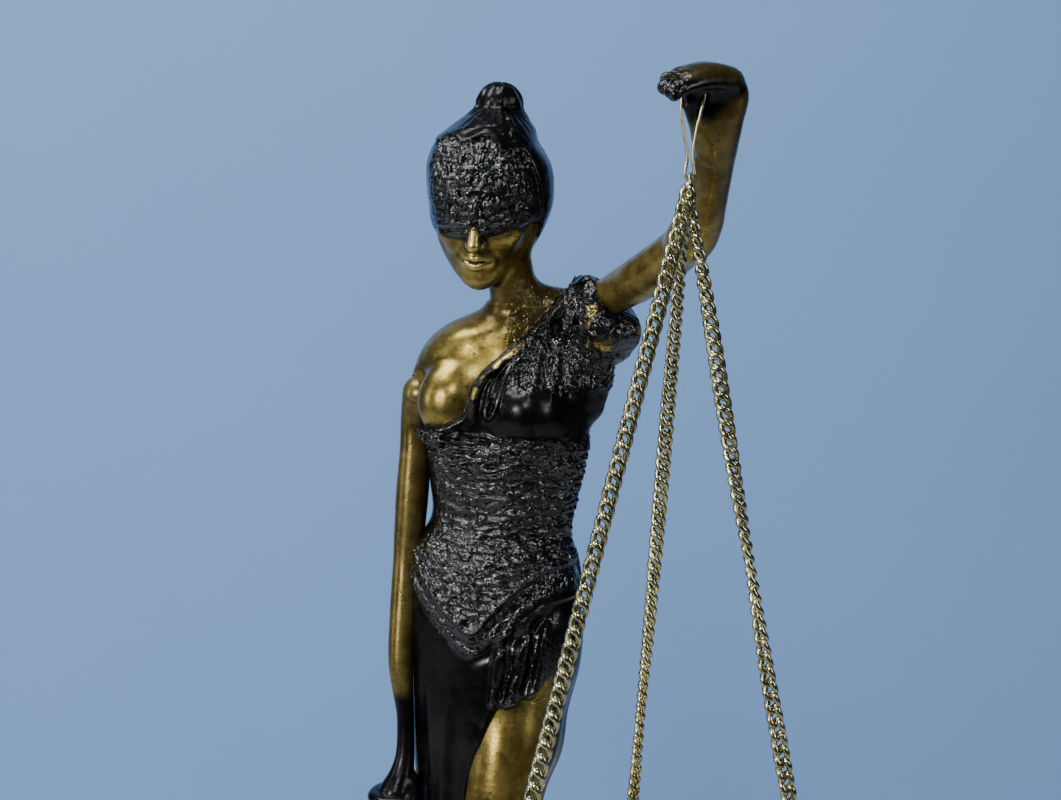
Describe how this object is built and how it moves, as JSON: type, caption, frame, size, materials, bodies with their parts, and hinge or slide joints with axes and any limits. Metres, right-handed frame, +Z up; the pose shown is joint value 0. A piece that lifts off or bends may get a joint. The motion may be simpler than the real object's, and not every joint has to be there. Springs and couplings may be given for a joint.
{
  "type": "statuette weighing scale",
  "caption": "Cast bronze blindfolded Justice on a marble block, holding up a wire loop from which a brass weighing pan hangs on curb chains.",
  "frame": {"origin": "middle of the underside of the felt pad, where the block rests", "axes": "+Z up, -Y out of the figure's front, +X towards her raised left arm"},
  "size_m": [0.1553, 0.1948, 0.4039],
  "materials": {
    "felt": "green felt",
    "black_marble": "polished black marble with pale veins",
    "steel": "zinc plated",
    "dark_bronze": "cast, glossy brown-black patina with worn gold edges and skin",
    "worn_brass": "cast, rubbed ochre gold with dark speckles",
    "sword_brass": "cast, rubbed gold over dark patina",
    "wire_brass": "drawn wire, dull",
    "chain_brass": "pale greenish brass curb chain",
    "pan_brass": "spun brass, lightly tarnished"
  },
  "bodies": {
    "statue": {"felt_pad": "felt", "marble_base": "black_marble", "base_stud": "steel", "base_washer": "steel", "base_nut": "steel", "ground_plate": "dark_bronze", "figure_body": "dark_bronze", "raised_arm": "worn_brass", "lowered_arm": "worn_brass", "sword_hilt": "sword_brass", "sword_blade": "sword_brass"},
    "loop": {"wire_loop": "wire_brass"},
    "ring": {"gather_ring": "wire_brass"},
    "pan": {"chain_side": "chain_brass", "chain_front": "chain_brass", "chain_rear": "chain_brass", "rim_ring_side": "chain_brass", "rim_ring_front": "chain_brass", "rim_ring_rear": "chain_brass", "weighing_pan": "pan_brass"}
  },
  "joints": [
    {"name": "loop_swing", "type": "hinge", "parent": "statue", "child": "loop", "pos_m": [0.0505, -0.09, 0.3962], "axis": [1, 0, 0], "range_deg": [-20, 4]},
    {"name": "ring_tilt", "type": "hinge", "parent": "loop", "child": "ring", "pos_m": [0.0505, -0.09, 0.3737], "axis": [0, 1, 0], "range_deg": [-12, 6]},
    {"name": "pan_turn", "type": "hinge", "parent": "ring", "child": "pan", "pos_m": [0.0505, -0.09, 0.3697], "axis": [0, 0, 1], "range_deg": [-45, 45]}
  ]
}
